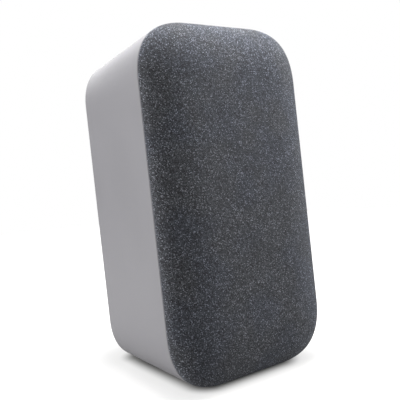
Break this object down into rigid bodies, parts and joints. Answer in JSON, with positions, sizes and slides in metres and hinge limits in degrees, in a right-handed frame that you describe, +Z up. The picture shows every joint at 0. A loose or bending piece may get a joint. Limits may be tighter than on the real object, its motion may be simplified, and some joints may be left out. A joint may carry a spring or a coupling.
{
  "type": "smart speaker",
  "caption": "Large upright smart speaker: tapered plastic housing, pillowed fabric front over two woofers and two tweeters, rear sockets, mute switch, magnetic pad.",
  "frame": {"origin": "centre of the silicone pad's underside, on the table", "axes": "+Z up; the fabric front faces -Y and leans back 4 degrees; +X to the right seen from the front"},
  "size_m": [0.1864, 0.1731, 0.3388],
  "materials": {
    "housing": "fine satin moulded texture, mid grey",
    "port_plastic": "matt dark grey",
    "grille_fabric": "charcoal twill weave, melange",
    "silicone": "soft matt silicone",
    "plate_steel": "plain rolled",
    "touch_plastic": "smooth satin",
    "switch_plastic": "fine satin",
    "socket_black": "moulded black",
    "socket_steel": "drawn shell",
    "inner_plastic": "black moulded",
    "gasket_foam": "closed-cell foam",
    "tinned_steel": "tinned",
    "heat_sink": "extruded",
    "transformer": "ferrite core and taped winding",
    "capacitor": "sleeved can",
    "lead_sleeve": "PVC sleeve",
    "light_pipe": "moulded clear",
    "antenna_film": "polyimide film",
    "neodymium": "nickel plated",
    "brass_tab": "plated tab",
    "screw_steel": "black zinc",
    "circuit_board": "green solder mask",
    "basket_steel": "black powder coat",
    "surround_rubber": "butyl rubber",
    "spider_cloth": "resin-dipped cotton",
    "cone_paper": "coated polypropylene",
    "coil_copper": "enamelled copper",
    "motor_steel": "zinc plated",
    "ferrite": "ground ferrite",
    "dome_silk": "coated silk"
  },
  "bodies": {
    "cabinet": {"ac_inlet": "socket_black", "amplifier_board": "circuit_board", "antennas": "antenna_film", "audio_jack": "socket_black", "baffle_gasket": "gasket_foam", "baffle_screws": "screw_steel", "base_magnets": "neodymium", "board_screws": "screw_steel", "front_baffle": "inner_plastic", "grille_fabric": "grille_fabric", "grille_frame": "inner_plastic", "heat_sink": "heat_sink", "housing": "housing", "led_board": "circuit_board", "led_light_pipes": "light_pipe", "main_board": "circuit_board", "microphones": "tinned_steel", "port_panel": "port_plastic", "power_board": "circuit_board", "power_capacitors": "capacitor", "power_transformer": "transformer", "processor_shield": "tinned_steel", "speaker_leads": "lead_sleeve", "switch_bodies": "socket_black", "touch_board": "circuit_board", "touch_strip": "touch_plastic", "tweeter_lower_faceplate": "inner_plastic", "tweeter_lower_magnet": "neodymium", "tweeter_lower_motor_cup": "motor_steel", "tweeter_screws": "screw_steel", "tweeter_upper_faceplate": "inner_plastic", "tweeter_upper_magnet": "neodymium", "tweeter_upper_motor_cup": "motor_steel", "usb_socket": "socket_steel", "woofer_lower_basket": "basket_steel", "woofer_lower_magnet": "ferrite", "woofer_lower_spider": "spider_cloth", "woofer_lower_surround": "surround_rubber", "woofer_lower_top_plate": "motor_steel", "woofer_lower_yoke": "motor_steel", "woofer_screws": "screw_steel", "woofer_terminals": "brass_tab", "woofer_upper_basket": "basket_steel", "woofer_upper_magnet": "ferrite", "woofer_upper_spider": "spider_cloth", "woofer_upper_surround": "surround_rubber", "woofer_upper_top_plate": "motor_steel", "woofer_upper_yoke": "motor_steel"},
    "woofer_upper_cone_assembly": {"woofer_upper_cone": "cone_paper", "woofer_upper_dust_cap": "cone_paper", "woofer_upper_voice_coil": "coil_copper"},
    "woofer_lower_cone_assembly": {"woofer_lower_cone": "cone_paper", "woofer_lower_dust_cap": "cone_paper", "woofer_lower_voice_coil": "coil_copper"},
    "tweeter_upper_diaphragm": {"tweeter_upper_dome": "dome_silk"},
    "tweeter_lower_diaphragm": {"tweeter_lower_dome": "dome_silk"},
    "mic_mute_switch": {"mic_mute_slider": "switch_plastic"},
    "reset_key": {"reset_button": "switch_plastic"},
    "pad": {"base_pad": "silicone", "base_pad_plate": "plate_steel"}
  },
  "joints": [
    {"name": "woofer_upper_travel", "type": "slide", "parent": "cabinet", "child": "woofer_upper_cone_assembly", "axis": [0, -0.9976, 0.0698], "range_m": [-0.011, 0.011], "stiffness_N_per_m": 1100, "deforming": ["woofer_upper_surround", "woofer_upper_spider"]},
    {"name": "woofer_lower_travel", "type": "slide", "parent": "cabinet", "child": "woofer_lower_cone_assembly", "axis": [0, -0.9976, 0.0698], "range_m": [-0.011, 0.011], "stiffness_N_per_m": 1100, "deforming": ["woofer_lower_surround", "woofer_lower_spider"]},
    {"name": "tweeter_upper_travel", "type": "slide", "parent": "cabinet", "child": "tweeter_upper_diaphragm", "axis": [0, -0.9976, 0.0698], "range_m": [-0.0005, 0.0005], "stiffness_N_per_m": 3000},
    {"name": "tweeter_lower_travel", "type": "slide", "parent": "cabinet", "child": "tweeter_lower_diaphragm", "axis": [0, -0.9976, 0.0698], "range_m": [-0.0005, 0.0005], "stiffness_N_per_m": 3000},
    {"name": "mic_mute_slide", "type": "slide", "parent": "cabinet", "child": "mic_mute_switch", "axis": [0, 0.0698, 0.9976], "range_m": [0, 0.003]},
    {"name": "reset_press", "type": "slide", "parent": "cabinet", "child": "reset_key", "axis": [0, -0.9976, 0.0698], "range_m": [0, 0.0008], "stiffness_N_per_m": 1500},
    {"name": "base_pad_release", "type": "slide", "parent": "cabinet", "child": "pad", "axis": [0, 0, -1], "range_m": [0, 0.02]}
  ]
}
